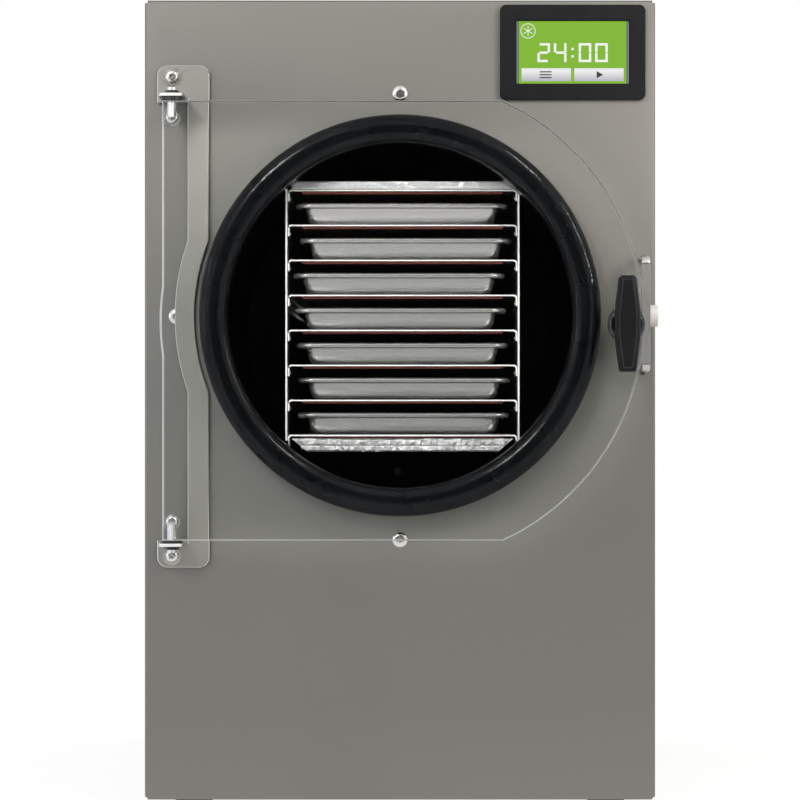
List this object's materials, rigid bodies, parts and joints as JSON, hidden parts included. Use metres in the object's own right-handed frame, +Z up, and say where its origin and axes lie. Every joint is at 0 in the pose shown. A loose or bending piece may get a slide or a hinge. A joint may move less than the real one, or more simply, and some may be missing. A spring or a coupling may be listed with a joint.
{
  "type": "freeze dryer",
  "caption": "Tabletop freeze dryer: steel cabinet, clear hinged door on a round vacuum chamber with a tray rack, touch display, compressor, vacuum port and drain.",
  "frame": {"origin": "on the floor, under the middle of the machine's box", "axes": "+Z up, the door faces -Y, +X towards the latch"},
  "size_m": [0.514, 0.6606, 0.817],
  "materials": {
    "panel_steel": "brushed vertically, satin",
    "rear_steel": "galvanised, dull",
    "screw_steel": "turned, bright",
    "foot_rubber": "moulded, matte",
    "chamber_steel": "drawn, dull",
    "gasket_rubber": "moulded, semi-gloss",
    "copper": "drawn copper tube",
    "foam": "foamed, matte",
    "rack_steel": "cold rolled, satin",
    "heater_silicone": "silicone mat, matte",
    "foil": "crumpled foil, bright",
    "tray_steel": "drawn, satin",
    "clear_acrylic": "clear, polished faces",
    "hinge_steel": "brushed, satin",
    "washer_plastic": "black nylon",
    "nylon": "natural nylon, turned",
    "handle_plastic": "moulded, fine texture",
    "bezel_plastic": "moulded, matte",
    "screen_glass": "glass over a lit display",
    "circuit_board": "solder mask",
    "compressor_paint": "black enamel, semi-gloss",
    "fin_aluminium": "thin fins",
    "fan_plastic": "moulded",
    "motor_paint": "dark grey paint",
    "blade_plastic": "moulded, pale",
    "port_steel": "turned stainless",
    "sensor_body": "blue moulding",
    "valve_brass": "turned brass",
    "lever_grip": "dipped vinyl, red",
    "hose_silicone": "silicone hose, cloudy",
    "inlet_plastic": "moulded, black",
    "rocker_plastic": "moulded, dark red"
  },
  "bodies": {
    "cabinet": {"front_panel": "panel_steel", "casing": "panel_steel", "base_pan": "panel_steel", "rear_panel": "rear_steel", "rear_screws": "screw_steel", "feet": "foot_rubber", "chamber": "chamber_steel", "chamber_flange": "chamber_steel", "chamber_back": "chamber_steel", "gasket": "gasket_rubber", "evaporator_coil": "copper", "insulation": "foam", "chamber_cradle": "rear_steel", "rack_left": "rack_steel", "rack_right": "rack_steel", "rack_rivets": "rack_steel", "heater_pads": "heater_silicone", "foil_top": "foil", "foil_bottom": "foil", "shelf_1": "rack_steel", "shelf_2": "rack_steel", "shelf_3": "rack_steel", "shelf_4": "rack_steel", "shelf_5": "rack_steel", "shelf_6": "rack_steel", "shelf_7": "rack_steel", "shelf_8": "rack_steel", "tray_1": "tray_steel", "tray_2": "tray_steel", "tray_3": "tray_steel", "tray_4": "tray_steel", "tray_5": "tray_steel", "tray_6": "tray_steel", "tray_7": "tray_steel", "hinge_plate": "hinge_steel", "hinge_pins": "screw_steel", "hinge_washers": "washer_plastic", "front_screws": "screw_steel", "strike": "hinge_steel", "strike_stop": "nylon", "bezel": "bezel_plastic", "touchscreen": "screen_glass", "circuit_boards": "circuit_board", "compressor": "compressor_paint", "condenser": "fin_aluminium", "fan_shroud": "fan_plastic", "fan_motor": "motor_paint", "refrigerant_lines": "copper", "vacuum_port": "port_steel", "vacuum_sensor": "sensor_body", "drain_valve": "valve_brass", "drain_tube": "hose_silicone", "power_inlet": "inlet_plastic"},
    "door": {"door": "clear_acrylic", "collar": "handle_plastic"},
    "latch": {"handle": "handle_plastic", "latch_tongue": "hinge_steel"},
    "fan": {"fan_blade": "blade_plastic"},
    "drain_handle": {"drain_lever": "lever_grip"},
    "rocker": {"power_rocker": "rocker_plastic"}
  },
  "joints": [
    {"name": "door_hinge", "type": "hinge", "parent": "cabinet", "child": "door", "pos_m": [-0.225, -0.298, 0.4925], "axis": [0, 0, -1], "range_deg": [0, 160]},
    {"name": "latch_turn", "type": "hinge", "parent": "door", "child": "latch", "pos_m": [0.222, -0.298, 0.489], "axis": [0, -1, 0], "range_deg": [0, 90]},
    {"name": "fan_spin", "type": "hinge", "parent": "cabinet", "child": "fan", "pos_m": [0.118, 0.275, 0.1257], "axis": [0, 1, 0], "continuous": true},
    {"name": "drain_turn", "type": "hinge", "parent": "cabinet", "child": "drain_handle", "pos_m": [-0.002, 0.3053, 0.131], "axis": [0, 0, -1], "range_deg": [0, 90]},
    {"name": "rocker_tilt", "type": "hinge", "parent": "cabinet", "child": "rocker", "pos_m": [-0.19, 0.2883, 0.0987], "axis": [1, 0, 0], "range_deg": [0, 12]}
  ]
}
